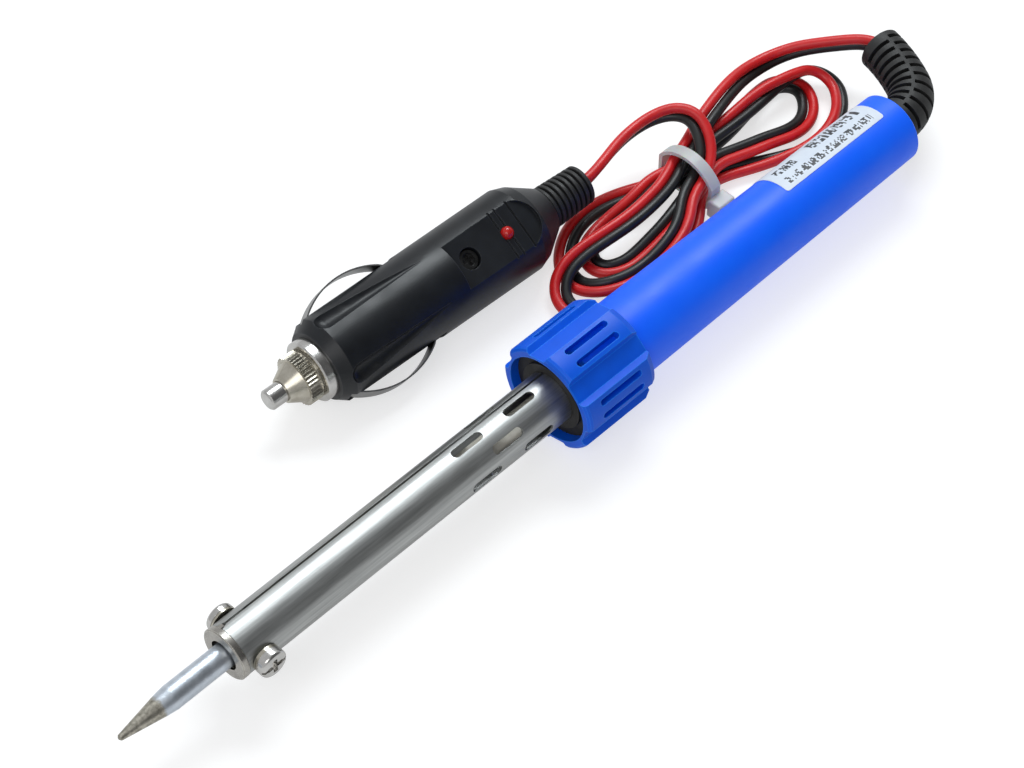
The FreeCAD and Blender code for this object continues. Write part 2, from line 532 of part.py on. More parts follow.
def cord_route():
    """Centre line of the twin cord from the crimps, round the hank, to the plug.

    A fourth number at a point rolls the pair, in degrees, so that the red core rises over the black.
    """
    route = [(size("cord_start"), 0, 0), (80, 0, 0), (106, 0, 0)]
    for angle, roll in ((0, 0), (25, 20), (50, 45), (62, 65), (70, 80), (78, 95)):
        route.append((*bend_frame(angle)[0], roll))
    # from the strain relief down to the table and back to the tie
    route += [(127.2, 21.6, -0.5, 105), (124.4, 26, -1.6, 105), (121, 30.2, -3, 105),
              (117.6, 33.8, -4.4, 100), (113.6, 36.4, -5.6, 90), (109, 37.8, -6.2, 75),
              (103.7, 37.9, -5.8, 60), (96.8, 36.7, -5, 40), (89.8, 34.9, -4.7, 15),
              (83.5, 33.1, -4.9, 5), (78, 31.2, -5.1), tie_pass(2, 3)]
    # outer loop towards the collar
    route += [(66.5, 27.2, -5.3), (60, 26.2, -5.8), (53, 26, -6.2), (46, 26.6, -6.6),
              (39.5, 27.4, -7.4), (34.4, 27.2, -8.4), (30.4, 25.4, -9.6), (28.2, 21.8, -10.8),
              (29, 17.8, -11.5), (32.8, 14.6, -11.6), (40, 13, -11.6), (50, 13.2, -11.6),
              (59, 15.4, -11.4), (66.5, 19, -10.9), tie_pass(1, 1)]
    # outer loop beside the handle
    route += [(80, 23.8, -10.8), (88, 20.7, -11.3, 15), (96, 16.7, -10.7, 45), (104, 14.8, -10.4, 80),
              (110.8, 15.8, -10.3, 110), (116.6, 19.3, -10.3, 135), (119.6, 24.2, -9.7, 145),
              (118.2, 28.7, -8.3, 140), (111.6, 30.8, -7.2, 110), (102, 31.3, -7.1, 50),
              (92, 31.3, -7.7, 8), (82, 31.1, -7.8), tie_pass(2, 2)]
    # inner loop towards the collar
    route += [(66.5, 31, -8.2), (60, 30.9, -9.2), (53, 31.5, -11), (46.6, 30.8, -11.6),
              (42.2, 28.2, -11.6), (41.4, 24.2, -11.6), (45, 21, -11.5), (52, 20.2, -10.6),
              (60, 20.6, -9), (66.5, 21.8, -8.2), tie_pass(1, 2)]
    # inner loop beside the handle
    route += [(80, 25.2, -7.9), (88, 23.8, -8.7), (95, 22.1, -9.3), (101.5, 20.8, -10.3),
              (107.6, 21.8, -11.4), (112.6, 25.6, -11.6), (114.2, 30, -11.6), (111.8, 33.6, -11.6),
              (106, 34.4, -11.4), (98.6, 33.2, -11), (90, 31.8, -10.8), (82, 31, -10.5), tie_pass(2, 1)]
    # last loop towards the collar
    route += [(66.5, 32, -10.9), (60, 35.3, -11.5), (52.5, 37, -11.6), (45, 35.9, -11.6),
              (38.8, 32.3, -11.6), (35.3, 28, -11.6), (34.6, 23.6, -11.4), (36.6, 19.2, -10.2),
              (41, 16.3, -9.3), (47, 15.1, -8.8), (54, 15.3, -7.6), (61, 17.4, -6.4),
              (67, 21.1, -5.4), tie_pass(1, 3)]
    # over the tie and along to the plug
    route += [(77.6, 26, -3.3, 10), (80.2, 29.6, -1.2, 30), (81, 33.4, 0.2, 60), (79.8, 36.9, 0.2, 85),
              (76.4, 39.8, -0.6, 100), (71, 41.2, -1.4, 108), (64.5, 41, -1.9, 112), (58, 39.7, -2.2, 115)]
    for x in (50, 42, 34, 26, size("cord_end")):
        route.append((*plug_place().multVec(Vector(x, 0, 0)), 115))
    rolls = [math.radians(point[3]) if len(point) > 3 else 0.0 for point in route]
    return [Vector(*point[:3]) for point in route], rolls


def headings(points):
    """Smooth travel direction at each point of a route."""
    curve = Part.BSplineCurve()
    curve.interpolate(points)
    return [curve.tangent(curve.parameter(point))[0].normalize() for point in points]


def arc_from(start, heading, end):
    """The arc that leaves start along heading and reaches end, and its heading there."""
    chord = end - start
    normal = heading.cross(chord)
    if normal.Length < 1e-6 * chord.Length:
        return Part.makeLine(start, end), heading
    normal.normalize()
    towards = normal.cross(heading)
    radius = chord.dot(chord) / (2 * chord.dot(towards))
    centre = start + towards * radius
    middle = ((start + end) * 0.5 - centre).normalize() * radius
    if middle.dot(start - centre) < 0:
        middle = middle * -1
    leaving = (chord * (2 * chord.dot(heading) / chord.dot(chord)) - heading).normalize()
    return Part.Arc(start, centre + middle, end).toShape(), leaving


def arcs_through(points):
    """A smooth wire of two arcs between each point and the next."""
    along = headings(points)
    edges = []
    for k in range(len(points) - 1):
        chord = points[k + 1] - points[k]
        both = along[k] + along[k + 1]
        spare = 2 * (1 - along[k].dot(along[k + 1]))
        if spare < 1e-9:
            reach = chord.dot(chord) / (4 * chord.dot(along[k + 1]))
        else:
            forward = chord.dot(both)
            reach = (math.sqrt(forward ** 2 + spare * chord.dot(chord)) - forward) / spare
        joint = (points[k] + points[k + 1] + (along[k] - along[k + 1]) * reach) * 0.5
        first, heading = arc_from(points[k], along[k], joint)
        second, heading = arc_from(joint, heading, points[k + 1])
        edges += [first, second]
    return Part.Wire(edges)


def cord_core(name, side):
    """One core, running beside the centre line; side is +1 to its left."""
    route, rolls = cord_route()
    beside = []
    for point, heading, roll in zip(route, headings(route), rolls):
        left = Vector(-heading.y, heading.x, 0).normalize()
        across = left * math.cos(roll) - heading.cross(left) * math.sin(roll)
        beside.append(point + across * (side * size("core_side")))
    path = arcs_through(beside)
    section = Part.Wire(Part.makeCircle(size("core_wire_r"), beside[0], headings(beside)[0]))
    feature(name, path.makePipeShell([section], True, False))


def tie_outline(grow, depth):
    """The tie's loop in YZ: flat underneath, straight sides and a crowned top, extruded along X."""
    half = size("tie_half") + grow
    low, side = size("tie_band") - grow, size("tie_band + tie_side")
    crown = size("tie_crown") + grow
    corner = size("tie_corner") + grow
    turn = corner * (1 - math.sqrt(0.5))
    left, right = Vector(0, -half, side), Vector(0, half, side)
    edges = [Part.Arc(left, Vector(0, 0, side + crown), right).toShape(),
             Part.makeLine(right, Vector(0, half, low + corner)),
             Part.Arc(Vector(0, half, low + corner), Vector(0, half - turn, low + turn),
                      Vector(0, half - corner, low)).toShape(),
             Part.makeLine(Vector(0, half - corner, low), Vector(0, corner - half, low)),
             Part.Arc(Vector(0, corner - half, low), Vector(0, turn - half, low + turn),
                      Vector(0, -half, low + corner)).toShape(),
             Part.makeLine(Vector(0, -half, low + corner), left)]
    block = Part.Face(Part.Wire(edges)).extrude(Vector(depth, 0, 0))
    block.translate(Vector(-depth / 2, 0, 0))
    return block


def cable_tie():
    width, band, head = size("tie_width"), size("tie_band"), size("tie_head")
    loop = tie_outline(band, width).cut(tie_outline(0, width + 1))
    edge = -size("tie_half") - band
    block = Part.makeBox(head, head * 0.75, head, Vector(-head / 2, edge - head * 0.7, 0))
    block = block.makeFillet(0.5, block.Edges)
    tail = Part.makeBox(width, size("tie_tail"), band, Vector(-width / 2, -size("tie_tail"), 0))
    tail.Placement = Placement(Vector(0, edge - head * 0.3, 0.2), Rotation(Vector(0, 0, 1), -50))
    shape = loop.fuse([block, tail]).removeSplitter()
    feature("cable_tie", shape, Placement(
        Vector(size("tie_x"), size("tie_y"), size("tie_low")), Rotation()))


# ---------------------------------------------------------------- plug body

def shell_solid():
    """The whole plug body before it is split into halves."""
    outline = [
        (0, "shell_mouth_r"), (0, "shell_nose_r"), ("shell_nose", "shell_front_r"),
        ("shell_rear", "shell_rear_r"), ("shell_tail", "shell_tail_r"), ("shell_end", "shell_end_r"),
        ("shell_end", "shell_hole_r"), ("shell_back", "shell_hole_r"), ("shell_back", "shell_back_bore"),
        ("shell_rib_end", "shell_back_bore"), ("shell_rib_end", "shell_rib_r"),
        ("shell_rib", "shell_rib_r"), ("shell_rib", "shell_bore"), ("shell_mouth", "shell_bore"),
        ("shell_mouth", "shell_mouth_r")]
    points = [Vector(size("shell_x") + (size(x) if x else 0), size(r), 0) for x, r in outline]
    face = Part.Face(Part.makePolygon(points + points[:1]))
    solid = face.revolve(Vector(0, 0, 0), Vector(1, 0, 0), 360)
    reach = size("post_reach")
    post = Part.makeCylinder(size("post_r"), 2 * reach, Vector(size("case_screw_x"), 0, -reach))
    return solid.fuse(post)


def trough():
    """A tapering round-bottomed groove cut, from a ball near the nose to a point behind it."""
    spots = []
    for x, out, turn in (("trough_front", "trough_out", "trough_turn"),
                         ("trough_end", "trough_end_out", "trough_end_turn")):
        angle = math.radians(size(turn))
        spots.append(Vector(size(x), size(out) * math.sin(angle), size(out) * math.cos(angle)))
    along = spots[1] - spots[0]
    cone = Part.makeCone(size("trough_r"), size("trough_end_r"), along.Length, spots[0], along)
    return cone.fuse(Part.makeSphere(size("trough_r"), spots[0]))


def shell_cuts():
    """Everything taken out of the plug body."""
    x, r, high = size("panel_mid"), size("panel_r"), size("panel_high")
    front = size("panel_front")
    cuts = [Part.makeBox(x - front, 2 * r, 4, Vector(front, -r, high)),
            Part.makeCylinder(r, 4, Vector(x, 0, high))]
    for line in ("line_one", "line_two", "line_three"):
        cuts.append(Part.makeBox(size("line_wide"), 2 * r, size("line_deep") + 1,
                                 Vector(size(line), -r, high - size("line_deep"))))
    axis = Vector(1, 0, 0)
    for half in (0, 180):
        cuts.append(trough().rotate(Vector(), axis, half))
        cuts.append(trough().mirror(Vector(), Vector(0, 1, 0)).rotate(Vector(), axis, half))
    half = size("earth_slot_half")
    cuts.append(Part.makeBox(size("earth_slot_length"), 26, 2 * half,
                             Vector(size("earth_slot_front"), -13, -half)))
    cuts.append(Part.makeCylinder(size("post_bore"), size("post_bore_low + post_reach"),
                                  Vector(size("case_screw_x"), 0, -size("post_bore_low"))))
    cuts.append(Part.makeCylinder(size("case_screw_hole"), 6,
                                  Vector(size("case_screw_x"), 0, size("case_seat"))))
    cuts.append(Part.makeCylinder(size("led_hole"), 4, Vector(size("led_x"), 0, size("led_hole_low"))))
    return cuts


def plug_shells():
    solid = shell_solid()
    for cut in shell_cuts():
        solid = solid.cut(cut)
    gap = size("shell_gap")
    for name, low in (("plug_shell_upper", gap / 2), ("plug_shell_lower", -15 - gap / 2)):
        block = Part.makeBox(90, 30, 15, Vector(-40, -15, low))
        feature(name, solid.common(block), plug_place())


def shell_screw():
    body = turned("shell_screw", [
        ("case_dish", ""), ("case_dish", "case_dish_r"), ("", "case_dish_r"),
        ("", "case_screw_head_r"), ("case_screw_head", "case_screw_head_r"),
        ("case_screw_head", "case_screw_r"), ("case_screw_length", "case_screw_r"),
        ("case_screw_length", "")])
    for turn in (0, 1):
        sketch = new_sketch(body, "case_cross_%d" % turn, "XZ_Plane" if turn else "XY_Plane")
        draw_polygon(sketch, [("", "case_arm"), ("cross_depth", "case_arm"),
                              ("cross_depth", "- case_arm"), ("", "- case_arm")])
        cut = body.newObject("PartDesign::Pocket", "case_cross_cut_%d" % turn)
        cut.Profile = sketch
        cut.Type = "Length"
        cut.setExpression("Length", formula("case_wide"))
        cut.Midplane = True
        doc.recompute()
    place = plug_place("case_screw_x", "", "case_screw_top")
    body.Placement = place.multiply(Placement(Vector(0, 0, 0), Rotation(Vector(0, 1, 0), 90)))


def led():
    r = size("led_r")
    dome = Part.makeSphere(r, Vector(0, 0, -r))
    stem = Part.makeCylinder(r, size("led_body") - r, Vector(0, 0, -size("led_body")))
    flange = Part.makeCylinder(size("led_flange_r"), 0.8, Vector(0, 0, -size("led_body")))
    feature("led", dome.fuse([stem, flange]).removeSplitter(), plug_place("led_x", "", "led_top"))


def resistor():
    length, r = size("resistor_length"), size("resistor_r")
    shape = rod(0, r * 0.8, length).fuse([rod(0, r, length * 0.25), rod(length * 0.75, r, length * 0.25),
                                          rod(-1.5, 0.25, length + 3)])
    feature("resistor", shape.removeSplitter(), plug_place("resistor_x", "resistor_y", "resistor_z"))


# ---------------------------------------------------------------- plug nose and insides

def nose_ring():
    body = turned("nose_ring", [
        ("", "ring_bore"), ("", "ring_r - ring_edge"), ("ring_edge", "ring_r"),
        ("ring_thick", "ring_r"), ("ring_thick", "ring_bore")])
    body.Placement = plug_place("ring_x")


def cap_nut():
    """Conical cap with an axially knurled band and a skirt that screws into the body."""
    profile = [(0, "cap_hole"), (0, "cap_front_r"), ("cap_cone", "cap_cone_r"),
               ("cap_cone", "cap_knurl_root"), ("cap_cone + cap_knurl", "cap_knurl_root"),
               ("cap_cone + cap_knurl", "cap_skirt_r"), ("cap_skirt", "cap_skirt_r"),
               ("cap_skirt", "cap_bore"), ("cap_wall", "cap_bore"), ("cap_wall", "cap_hole")]
    points = [Vector(size(x) if x else 0, size(r), 0) for x, r in profile]
    solid = Part.Face(Part.makePolygon(points + points[:1])).revolve(Vector(), Vector(1, 0, 0), 360)
    teeth = 40
    rim = []
    for k in range(2 * teeth):
        angle = math.pi * k / teeth
        radius = size("cap_knurl_r") if k % 2 == 0 else size("cap_knurl_root")
        rim.append(Vector(0, radius * math.cos(angle), radius * math.sin(angle)))
    band = Part.Face(Part.makePolygon(rim + rim[:1])).extrude(Vector(size("cap_knurl"), 0, 0))
    band.translate(Vector(size("cap_cone"), 0, 0))
    band = band.cut(rod(0, size("cap_skirt_r"), 20))
    feature("cap_nut", solid.fuse(band).removeSplitter(), plug_place("cap_x"))


def centre_pin():
    body = turned("centre_pin", [
        ("", ""), ("", "pin_r - pin_edge"), ("pin_edge", "pin_r"), ("pin_flange_at", "pin_r"),
        ("pin_flange_at", "pin_flange_r"), ("pin_length", "pin_flange_r"), ("pin_length", "")])
    body.Placement = plug_place("pin_x")


def pin_spring():
    shape = helix(size("spring_pitch"), size("spring_length"), size("spring_r"), size("spring_wire_r"))
    feature("pin_spring", shape, plug_place("spring_x"))


def fuse_glass():
    body = turned("fuse_glass", [
        ("fuse_cap_end", "fuse_bore"), ("fuse_cap_end", "fuse_r"),
        ("fuse_length - fuse_cap_end", "fuse_r"), ("fuse_length - fuse_cap_end", "fuse_bore")])
    body.Placement = plug_place("fuse_x")


def fuse_caps():
    length, cap, end = size("fuse_length"), size("fuse_cap"), size("fuse_cap_end")
    play = size("fuse_play")
    outer, inner = size("fuse_cap_r"), size("fuse_r") + play
    front = rod(0, outer, cap).cut(rod(end - play, inner, cap))
    rear = rod(length - cap, outer, cap).cut(rod(length - cap - 1, inner, cap + 1 - end + play))
    feature("fuse_caps", Part.makeCompound([front, rear]), plug_place("fuse_x"))


def positive_terminal():
    body = turned("positive_terminal", [
        ("", "cup_bore"), ("", "cup_r"), ("cup_length", "cup_r"), ("cup_length", ""),
        ("cup_deep", ""), ("cup_deep", "cup_bore")])
    body.Placement = plug_place("cup_x")


def side_contact(name, side):
    """Bowed strip: a curl inside the body, an arc out through the slot, a tail back in."""
    radius, thick, half = size("earth_bow_r"), size("earth_thick"), size("earth_half")
    centre = Vector(size("earth_bow_x"), size("earth_peak") - radius, 0)
    root = Vector(size("earth_root_x"), size("earth_root_y"), 0)
    tip_x = size("earth_tip_x")

    def on_arc(x, r):
        return Vector(x, centre.y + math.sqrt(r * r - (x - centre.x) ** 2), 0)

    inner, outer = radius - thick, radius
    edges = [Part.Arc(on_arc(root.x, inner), on_arc(centre.x, inner), on_arc(tip_x, inner)).toShape(),
             Part.Arc(on_arc(root.x, outer), on_arc(centre.x, outer), on_arc(tip_x, outer)).toShape()]
    dip = Vector(size("earth_dip_x"), -size("earth_dip"), 0)
    tail = dip + Vector(size("earth_tail"), 0, 0)
    low, high = on_arc(tip_x, inner), on_arc(tip_x, outer)
    end = [low, low + dip, low + tail, high + tail, high + dip, high]
    for a, b in zip(end, end[1:]):
        edges.append(Part.makeLine(a, b))
    edges.append(Part.makeLine(on_arc(root.x, outer), on_arc(root.x, inner)))
    face = Part.Face(Part.Wire(Part.__sortEdges__(edges)))
    strip = face.extrude(Vector(0, 0, 2 * half))
    strip.translate(Vector(0, 0, -half))
    curl = Part.makeCylinder(size("earth_root_r"), 2 * half, root - Vector(0, 0, half))
    shape = strip.fuse(curl).removeSplitter()
    if side < 0:
        shape = shape.mirror(Vector(0, 0, 0), Vector(0, 1, 0))
    feature(name, shape, plug_place())


def plug_relief():
    """Straight ribbed boot: flange and neck inside the body, tapering ribs outside."""
    start, ribs = size("plug_relief_neck"), 8
    length = size("plug_relief_length")
    big, small = size("plug_relief_r"), size("plug_relief_end_r")
    deep, wide, edge = size("plug_rib_deep"), size("plug_rib_gap"), size("plug_rib_edge")
    points = [(0, size("plug_relief_bore")), (0, size("plug_relief_flange_r")),
              (size("plug_relief_flange"), size("plug_relief_flange_r")),
              (size("plug_relief_flange"), size("plug_relief_neck_r")),
              (start, size("plug_relief_neck_r"))]
    step = (length - start) / ribs
    for k in range(ribs):
        x = start + k * step
        r = big + (small - big) * k / (ribs - 1)
        back = x + step - wide
        points += [(x, r - edge), (x + edge, r), (back - edge, r), (back, r - edge)]
        if k < ribs - 1:
            points += [(back, r - deep), (x + step, r - deep)]
    points.append((back, size("plug_relief_bore")))
    corners = [Vector(x, r, 0) for x, r in points]
    face = Part.Face(Part.makePolygon(corners + corners[:1]))
    feature("plug_relief", face.revolve(Vector(), Vector(1, 0, 0), 360), plug_place("plug_relief_x"))


# ---------------------------------------------------------------- build and write

bit()
end_plate()
holder_ring()
barrel()
clamp_screw("clamp_screw_near", -1, "clamp_near_top", "clamp_near_high")
clamp_screw("clamp_screw_far", 1, "clamp_far_top", "clamp_far_high")
washer("washer_near", -1, "washer_near_top", "washer_near_thick")
washer("washer_far", 1, "washer_far_top", "washer_far_thick")
sleeve_body("heater_core", "core_x", "core_length", "core_r", "core_bore")
heater_coil()
sleeve_body("mica_wrap", "mica_x", "mica_length", "mica_r", "mica_bore")
pair("lead_wires", "lead_x", "lead_length", "lead_r", "")
pair("lead_sleeves", "sleeve_x", "sleeve_length", "sleeve_r", "sleeve_bore")
pair("crimps", "crimp_x", "crimp_length", "crimp_r", "crimp_bore")
heat_disc()
collar()
handle()
label()
cord_relief()
cord_core("cable_red", -1)
cord_core("cable_black", 1)
cable_tie()
plug_shells()
shell_screw()
led()
resistor()
nose_ring()
cap_nut()
centre_pin()
pin_spring()
fuse_glass()
fuse_caps()
positive_terminal()
side_contact("side_contact_near", -1)
side_contact("side_contact_far", 1)
plug_relief()
doc.recompute()

for item in doc.Objects:
    if "Invalid" in item.State or "Error" in item.State:
        raise RuntimeError("%s is %s" % (item.Name, item.State))
os.makedirs("parts", exist_ok=True)
for item in made:
    if item.Shape.isNull() or not item.Shape.isValid():
        raise RuntimeError("%s has a bad shape" % item.Label)
    box = item.Shape.BoundBox
    print("%-20s %2d solids %9.1f mm3  x %.1f..%.1f y %.1f..%.1f z %.1f..%.1f" % (
        item.Label, len(item.Shape.Solids), item.Shape.Volume,
        box.XMin, box.XMax, box.YMin, box.YMax, box.ZMin, box.ZMax))
    item.Shape.exportStep("parts/%s.step" % item.Label)
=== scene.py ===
import math

import bpy
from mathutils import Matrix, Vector


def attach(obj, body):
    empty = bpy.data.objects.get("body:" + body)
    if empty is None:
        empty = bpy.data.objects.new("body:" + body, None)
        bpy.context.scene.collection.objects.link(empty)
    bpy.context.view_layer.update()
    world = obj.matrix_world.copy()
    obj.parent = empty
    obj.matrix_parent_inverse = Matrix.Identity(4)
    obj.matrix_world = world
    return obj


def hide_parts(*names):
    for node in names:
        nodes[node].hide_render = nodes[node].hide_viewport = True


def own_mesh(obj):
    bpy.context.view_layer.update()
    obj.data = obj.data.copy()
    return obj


MM = 0.001

# Noise keeps near its middle; patches of roughness are broader than the mottling of the colour
NOISE_ROUGHNESS = 0.55
NOISE_MIDDLE = (0.3, 0.7)
FINE_GRAIN = 1500.0
PATCH_SCALE = 0.37
ROUGH_SPREAD = (0.85, 1.2)

# Bump and edges; an edge gets a painted highlight by how far a bevel turns the normal and how far the mesh
# bulges
BUMP_DEPTH = 0.05 * MM
FINE_EDGE = 0.1 * MM
BEVEL_SAMPLES = 4
HIGHLIGHT_TURN = (0.99, 0.90)
HIGHLIGHT_BULGE = (0.50, 0.54)

# The bit's tinning begins and is full at these X, along an uneven line
TINNED_FROM = -105.6 * MM
TINNED_FULL = -106.3 * MM
TINNED_RAGGED = 1.6 * MM

# The label's edge on the -Y side, as an angle from the top of the handle; rows start from that edge, in mm
LABEL_EDGE = math.radians(10.5)
LABEL_RADIUS = 8.6 * MM
INK = (0.035, 0.04, 0.05)
INK_ROWS = [
    {"start": 1.1, "high": 2.0, "word": 2.45, "first": 75.2, "last": 103.0, "bare": 0.48},
    {"start": 4.6, "high": 2.4, "word": 2.3, "first": 75.2, "last": 81.5, "bare": 0.38},
    {"start": 4.8, "high": 3.4, "word": 2.9, "first": 87.0, "last": 102.5, "bare": 0.34},
]
WORD_BLOCKS = 7.0
ROW_BLOCKS = 5.0
WORD_SHARE = 0.82

CAMERA_PLACE = (-282.47 * MM, -270.66 * MM, 491.87 * MM)
CAMERA_TARGET = (-2.13 * MM, 8.04 * MM, 0)
LENS = 106.0
SENSOR = 36.0
CLIP_START = 0.01

TABLE_TOP = -12.95 * MM
TABLE_SIZE = 6.0
TABLE_GLOW = 0.30
TABLE_GLOW_SEEN = 0.34

# Lamps are this high as a share of their width; the surroundings dim towards one direction
LAMP_TARGET = (0, 0.02, 0)
LAMP_HEIGHT = 0.6
DIM_SIDE = (0.447, -0.76, 0.474)
DIM_SPREAD = (0.40, 0.97)
SKY_BRIGHT = 0.56
SKY_DIM = 0.12
SKY_COLOR = (0.97, 0.98, 1.0)

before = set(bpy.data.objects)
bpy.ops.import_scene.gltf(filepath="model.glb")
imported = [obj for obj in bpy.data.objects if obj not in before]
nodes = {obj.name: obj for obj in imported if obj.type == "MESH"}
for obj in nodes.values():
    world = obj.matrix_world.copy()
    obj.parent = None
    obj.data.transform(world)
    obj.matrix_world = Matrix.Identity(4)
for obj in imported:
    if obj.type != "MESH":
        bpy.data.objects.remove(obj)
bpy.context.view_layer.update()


# ---------------------------------------------------------------- shader nodes

def new_tree(name):
    material = bpy.data.materials.new(name)
    material.use_nodes = True
    tree = material.node_tree
    shader = tree.nodes["Principled BSDF"]
    return material, tree, shader


def set_inputs(node, values):
    for name, value in values.items():
        node.inputs[name].default_value = value


def noise(tree, scale, detail=4.0, stretch=(1, 1, 1)):
    """Noise in object space; scale counts features per metre, stretch squeezes it along each axis."""
    place = tree.nodes.new("ShaderNodeTexCoord")
    mapping = tree.nodes.new("ShaderNodeMapping")
    set_inputs(mapping, {"Scale": stretch})
    texture = tree.nodes.new("ShaderNodeTexNoise")
    set_inputs(texture, {"Scale": scale, "Detail": detail, "Roughness": NOISE_ROUGHNESS})
    tree.links.new(place.outputs["Object"], mapping.inputs["Vector"])
    tree.links.new(mapping.outputs["Vector"], texture.inputs["Vector"])
    return texture.outputs["Fac"]


def remap(tree, source, span, low=0.0, high=1.0, smooth=False):
    """Maps the span (start, end) of a socket onto low..high and holds it at both ends."""
    node = tree.nodes.new("ShaderNodeMapRange")
    if smooth:
        node.interpolation_type = "SMOOTHSTEP"
    set_inputs(node, {"From Min": span[0], "From Max": span[1], "To Min": low, "To Max": high})
    tree.links.new(source, node.inputs["Value"])
    return node.outputs["Result"]


def vary(tree, source, low, high):
    """Maps noise onto low..high."""
    return remap(tree, source, NOISE_MIDDLE, low, high)


def mix_color(tree, factor, first, second):
    """Mixes two colours; each is a socket or three numbers."""
    node = tree.nodes.new("ShaderNodeMix")
    node.data_type = "RGBA"
    for socket, value in (("A", first), ("B", second)):
        target = [s for s in node.inputs if s.name == socket and s.type == "RGBA"][0]
        if isinstance(value, (tuple, list)):
            target.default_value = (*value, 1)
        else:
            tree.links.new(value, target)
    tree.links.new(factor, node.inputs["Factor"])
    return [s for s in node.outputs if s.type == "RGBA"][0]


def mottle(tree, source, first, second):
    """A colour that wanders between two with the noise in source."""
    return mix_color(tree, vary(tree, source, 0, 1), first, second)


def calc(tree, operation, first, second=0.0):
    """One Math node; each input is a socket or a number."""
    node = tree.nodes.new("ShaderNodeMath")
    node.operation = operation
    for socket, value in zip(node.inputs, (first, second)):
        if isinstance(value, (int, float)):
            socket.default_value = value
        else:
            tree.links.new(value, socket)
    return node.outputs["Value"]


def position(tree):
    """X, Y and Z sockets of the shaded point in object space, in metres."""
    place = tree.nodes.new("ShaderNodeTexCoord")
    split = tree.nodes.new("ShaderNodeSeparateXYZ")
    tree.links.new(place.outputs["Object"], split.inputs["Vector"])
    return split.outputs["X"], split.outputs["Y"], split.outputs["Z"]


def softened_normal(tree, radius):
    """The normal as it would be if every edge had a small bevel."""
    bevel = tree.nodes.new("ShaderNodeBevel")
    bevel.samples = BEVEL_SAMPLES
    set_inputs(bevel, {"Radius": radius})
    return bevel.outputs["Normal"]


def add_bump(tree, shader, height, strength, depth=BUMP_DEPTH, edge=0.0):
    """Bump from a height, over edges softened by a bevel of radius edge."""
    bump = tree.nodes.new("ShaderNodeBump")
    set_inputs(bump, {"Strength": strength, "Distance": depth})
    tree.links.new(height, bump.inputs["Height"])
    if edge:
        tree.links.new(softened_normal(tree, edge), bump.inputs["Normal"])
    tree.links.new(bump.outputs["Normal"], shader.inputs["Normal"])


def highlit_edges(tree, radius):
    """Mask of the painted edge highlight: 1 along convex edges, 0 elsewhere, where a bevel would turn the
    normal and the mesh bulges.
    """
    geometry = tree.nodes.new("ShaderNodeNewGeometry")
    agree = tree.nodes.new("ShaderNodeVectorMath")
    agree.operation = "DOT_PRODUCT"
    tree.links.new(softened_normal(tree, radius), agree.inputs[0])
    tree.links.new(geometry.outputs["Normal"], agree.inputs[1])
    turned = remap(tree, agree.outputs["Value"], HIGHLIGHT_TURN)
    bulge = remap(tree, geometry.outputs["Pointiness"], HIGHLIGHT_BULGE)
    return calc(tree, "MULTIPLY", turned, bulge)


# ---------------------------------------------------------------- materials

def surface(name, color, other, rough, metal=0.0, grain=500.0, bump=0.15, edge=FINE_EDGE, edge_highlight=None,
            spec=0.5, glow=0.0):
    """A finish with mottled colour, uneven roughness and fine bump; its convex edges can take a lighter
    colour as a painted highlight.

    glow stands for the light that scatters inside a translucent plastic.
    """
    material, tree, shader = new_tree(name)
    base = mottle(tree, noise(tree, grain), color, other)
    # The colour given for the edges is a painted highlight along convex edges.
    if edge_highlight:
        base = mix_color(tree, highlit_edges(tree, 2 * edge), base, edge_highlight)
    tree.links.new(base, shader.inputs["Base Color"])
    set_inputs(shader, {"Metallic": metal, "Specular IOR Level": spec,
                        "Emission Color": (*other, 1), "Emission Strength": glow})
    patchy = noise(tree, grain * PATCH_SCALE)
    uneven = vary(tree, patchy, rough * ROUGH_SPREAD[0], rough * ROUGH_SPREAD[1])
    tree.links.new(uneven, shader.inputs["Roughness"])
    add_bump(tree, shader, noise(tree, FINE_GRAIN, detail=2.0), bump, edge=edge)
    return material


def brushed_tube():
    """Satin sheet steel with fine streaks along the tube."""
    material, tree, shader = new_tree("barrel_steel")
    streaks = noise(tree, 60.0, detail=6.0, stretch=(1, 30, 30))
    base = mottle(tree, streaks, (0.38, 0.39, 0.385), (0.53, 0.54, 0.53))
    tree.links.new(base, shader.inputs["Base Color"])
    set_inputs(shader, {"Metallic": 1.0})
    patchy = noise(tree, 120.0, stretch=(1, 6, 6))
    tree.links.new(vary(tree, patchy, 0.36, 0.46), shader.inputs["Roughness"])
    add_bump(tree, shader, streaks, 0.10, edge=FINE_EDGE)
    return material


def tinned_bit():
    """Bluish satin shank; the tinned point is golden grey and uneven."""
    material, tree, shader = new_tree("bit_plate")
    x = position(tree)[0]
    ragged = calc(tree, "MULTIPLY", noise(tree, 900.0), TINNED_RAGGED)
    tinned = remap(tree, calc(tree, "ADD", x, ragged), (TINNED_FROM, TINNED_FULL))
    shank = mottle(tree, noise(tree, 700.0), (0.58, 0.64, 0.71), (0.72, 0.78, 0.85))
    blotch = noise(tree, 1100.0, detail=2.0)
    point = mottle(tree, blotch, (0.28, 0.265, 0.22), (0.60, 0.57, 0.49))
    tree.links.new(mix_color(tree, tinned, shank, point), shader.inputs["Base Color"])
    set_inputs(shader, {"Metallic": 1.0})
    tree.links.new(vary(tree, noise(tree, 300.0), 0.34, 0.44), shader.inputs["Roughness"])
    add_bump(tree, shader, blotch, 0.30, depth=2 * BUMP_DEPTH, edge=FINE_EDGE)
    return material


